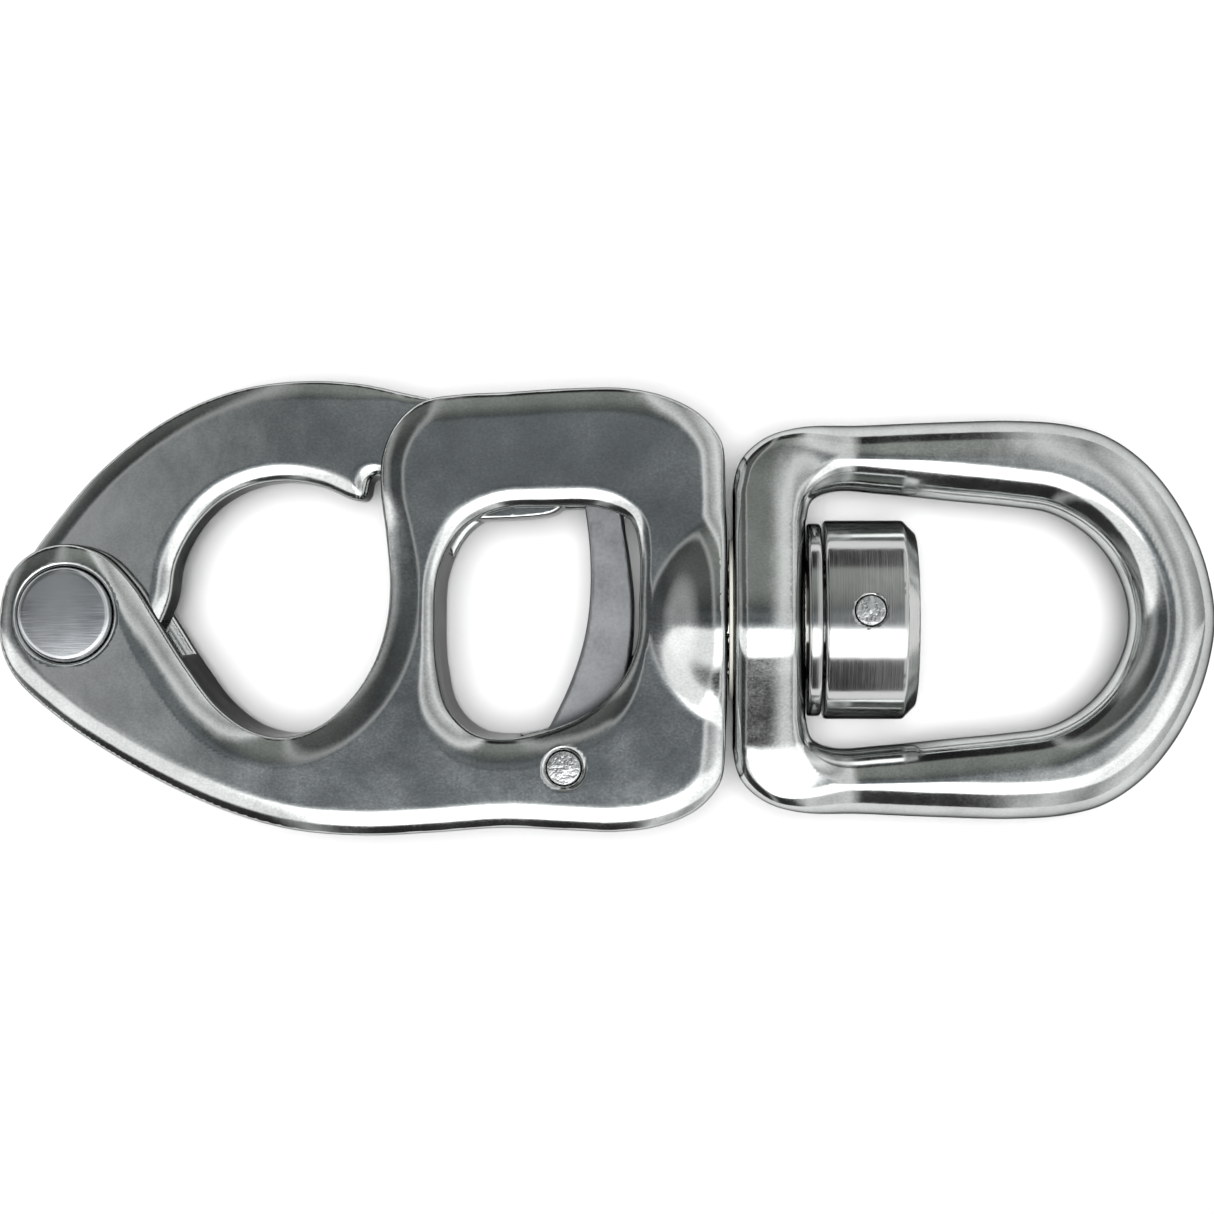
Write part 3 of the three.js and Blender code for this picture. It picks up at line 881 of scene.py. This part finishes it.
def ring_piece(name, node, outer, rounding, material, body, slot):
    """A turned ring on the shank that fills its CAD node's length along the swivel."""
    low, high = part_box(node)
    start, end = low[0] / MM, high[0] / MM
    bore = SHANK_RADIUS + BORE_GAP
    corners = [
        (bore, start, BORE_EDGE),
        (outer, start, rounding),
        (outer, end, rounding),
        (bore, end, BORE_EDGE),
    ]
    centre = middle(node)
    centre[0] = 0
    mesh = turned_mesh(name, rounded_profile(corners), centre, "X", sides=160)
    return add_piece(name, mesh, material, body, slot, node)


def make_inner_washer():
    """The steel thrust washer between the eye and the nut."""
    size = (INNER_WASHER_RADIUS, INNER_WASHER_EDGE)
    return ring_piece("inner_washer", "inner_thrust_washer", *size, TURNED, "body", "turned_steel")


def make_outer_washer():
    """The plastic thrust washer between the body and the eye."""
    size = (OUTER_WASHER_RADIUS, BORE_EDGE)
    return ring_piece("outer_washer", "outer_thrust_washer", *size, ACETAL, "body", "bearing_plastic")


def make_bush():
    """The eye's plastic bush on the shank."""
    size = (BUSH_RADIUS, BORE_EDGE)
    return ring_piece("eye_bush", "swivel_bush", *size, ACETAL, "eye", "bearing_plastic")


def nut_solid():
    """The round nut, chamfered at its free end, with its bore for the shank."""
    low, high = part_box("swivel_nut")
    start = low[0] / MM - DRAWING_ZERO[0]
    end = high[0] / MM - DRAWING_ZERO[0]

    def solid(x, y, z):
        out = from_swivel(y, z)
        solid = np.maximum(out - BOSS_RADIUS, x - end)
        chamfer = (out - BOSS_RADIUS + x - end + NUT_CHAMFER) / math.sqrt(2)
        solid = round_common(solid, chamfer, NUT_CHAMFER_EDGE)
        solid = round_common(solid, start - x, NUT_EDGE)
        return np.maximum(solid, SHANK_RADIUS + BORE_GAP - out)

    return solid


def across_lock_pin(y, z):
    """How far a point is from the cross pin's middle plane, which leans round the nut."""
    return (y - SWIVEL_Y) * math.cos(LOCK_PIN_LEAN) - z * math.sin(LOCK_PIN_LEAN)


def lock_pin(x, y, z):
    """The distance to the cross pin's cylinder."""
    return np.hypot(x - LOCK_PIN_X, across_lock_pin(y, z)) - LOCK_PIN_RADIUS


def make_nut():
    """The nut with the hole for its cross pin, on one side."""
    base = nut_solid()

    def solid(x, y, z):
        cross = np.maximum(lock_pin(x, y, z) - LOCK_PIN_GAP, -z)
        return round_cut(base(x, y, z), cross, NUT_HOLE_EDGE)

    mesh = solid_mesh("round_nut", solid, (29, -16.5, -15), (44, 13.5, 15), step=0.33)
    return add_piece("round_nut", mesh, TURNED, "body", "turned_steel", "swivel_nut")


def make_lock_pin():
    """The cross pin, flush with the nut's round face and staked with three punch marks."""

    def solid(x, y, z):
        out = from_swivel(y, z)
        pin = round_common(lock_pin(x, y, z), out - BOSS_RADIUS + LOCK_PIN_SUNK, LOCK_PIN_EDGE)
        pin = np.maximum(pin, LOCK_PIN_INNER_END - z)
        for dx, dy in PUNCH_MARKS:
            dot = np.hypot(x - LOCK_PIN_X - dx, across_lock_pin(y, z) - dy) - PUNCH_RADIUS
            pin = np.maximum(pin, -np.maximum(dot, BOSS_RADIUS - PUNCH_DEPTH - out))
        return pin

    mesh = solid_mesh("cross_pin", solid, (33, -5, 5), (39, 4, 14.5), step=0.12)
    return add_piece("cross_pin", mesh, RIVET_STEEL, "body", "rivet_steel", "nut_lock_pin")


# ------------------------------------------------------------------ stage

CAMERA_HEIGHT = 0.40  # above the shackle's middle plane
CAMERA_X = 0.012  # the camera stands a little towards the swivel, and leans back to the middle
CAMERA_AIM_X = -0.0004
VIEW_WIDTH = 0.16674


def make_camera():
    """Nearly straight above, with the shackle filling the picture's width."""
    aside = CAMERA_X - CAMERA_AIM_X
    data = bpy.data.cameras.new("camera")
    data.sensor_width = 36
    data.lens = data.sensor_width * math.hypot(CAMERA_HEIGHT, aside) / VIEW_WIDTH
    camera = bpy.data.objects.new("camera", data)
    camera.location = (CAMERA_X, 0, middle("jaw_pin")[2] * MM + CAMERA_HEIGHT)
    camera.rotation_euler = (0, math.atan2(aside, CAMERA_HEIGHT), 0)
    bpy.context.scene.collection.objects.link(camera)
    bpy.context.scene.camera = camera


def make_floor():
    """A plain white floor."""
    bpy.ops.mesh.primitive_plane_add(size=6)
    floor = bpy.context.object
    floor.name = "floor"
    material = bpy.data.materials.new("floor_paint")
    material.use_nodes = True
    shader = material.node_tree.nodes["Principled BSDF"]
    shader.inputs["Base Color"].default_value = (0.93, 0.93, 0.93, 1)
    shader.inputs["Roughness"].default_value = 0.9
    floor.data.materials.append(material)


# What the studio shows a mirror: degrees from overhead towards the far side (+Y), and a colour.
STUDIO = [
    (-120, (0.04, 0.04, 0.04)),
    (-60, (0.03, 0.03, 0.03)),
    (-46, (0.05, 0.05, 0.05)),
    (-41, (3.00, 3.00, 3.00)),
    (-13, (3.00, 3.00, 3.00)),
    (-9, (0.70, 0.72, 0.74)),
    (-5, (0.25, 0.27, 0.29)),
    (-1, (0.12, 0.13, 0.14)),
    (4, (0.18, 0.195, 0.205)),
    (12, (0.10, 0.11, 0.115)),
    (20, (0.15, 0.16, 0.15)),
    (35, (0.25, 0.265, 0.25)),
    (60, (0.29, 0.305, 0.285)),
    (66, (0.02, 0.02, 0.02)),
    (120, (0.02, 0.02, 0.02)),
]
STUDIO_BRIGHTEST = 3.00
# The walls to the left and right: the X of the direction, a grey, and how much they cover.
WALLS = [
    (-1.0, 0.05, 0.8),
    (-0.84, 0.60, 0.6),
    (-0.64, 0.05, 0.6),
    (-0.32, 0.03, 0.6),
    (-0.23, 0.62, 0.75),
    (-0.14, 0.60, 0.0),
    (0.06, 0.80, 0.0),
    (0.17, 1.45, 0.62),
    (0.36, 0.60, 0.62),
    (0.70, 1.20, 0.8),
    (1.0, 0.40, 0.8),
]


def make_world():
    """A studio with one long soft box on the near side of the camera, and plain walls."""
    world = bpy.data.worlds.new("studio")
    bpy.context.scene.world = world
    world.use_nodes = True
    add, link = node_tools(world)
    split = add("ShaderNodeSeparateXYZ")
    link(add("ShaderNodeTexCoord").outputs["Generated"], split.inputs["Vector"])
    lean = add("ShaderNodeMath", operation="ARCTAN2")
    link(split.outputs["Y"], lean.inputs[0])
    link(split.outputs["Z"], lean.inputs[1])
    widest = STUDIO[-1][0]
    place = add("ShaderNodeMapRange")
    place.inputs["From Min"].default_value = math.radians(-widest)
    place.inputs["From Max"].default_value = math.radians(widest)
    link(lean.outputs["Value"], place.inputs["Value"])
    stops = [
        ((angle / widest + 1) / 2, [c / STUDIO_BRIGHTEST for c in colour])
        for angle, colour in STUDIO
    ]
    tone = ramp(add, link, place.outputs["Result"], stops)
    half = add("ShaderNodeMapRange")
    half.inputs["From Min"].default_value = -1
    link(split.outputs["X"], half.inputs["Value"])
    greys = [((x + 1) / 2, grey / STUDIO_BRIGHTEST) for x, grey, _ in WALLS]
    shares = [((x + 1) / 2, share) for x, _, share in WALLS]
    walls = ramp(add, link, half.outputs["Result"], greys)
    mix = add("ShaderNodeMix", data_type="RGBA")
    link(ramp(add, link, half.outputs["Result"], shares), mix.inputs["Factor"])
    link(tone, mix.inputs["A"])
    link(walls, mix.inputs["B"])
    world.cycles_visibility.diffuse = False
    background = world.node_tree.nodes["Background"]
    background.inputs["Strength"].default_value = STUDIO_BRIGHTEST
    link(mix.outputs["Result"], background.inputs["Color"])


def make_light():
    """Soft light from straight above for the floor. The steel mirrors the studio alone."""
    data = bpy.data.lights.new("overhead", "SUN")
    data.energy = 3.5
    data.angle = math.radians(25)
    lamp = bpy.data.objects.new("overhead", data)
    lamp.visible_glossy = False
    bpy.context.scene.collection.objects.link(lamp)


# ------------------------------------------------------------------ assembly

make_body()
make_jaw()
make_trigger()
make_spring()
make_jaw_pin()
make_trigger_pin()
make_eye()
make_nut()
make_lock_pin()
make_inner_washer()
make_outer_washer()
make_bush()
make_camera()
make_floor()
make_world()
make_light()
bpy.context.scene.view_settings.view_transform = "Standard"
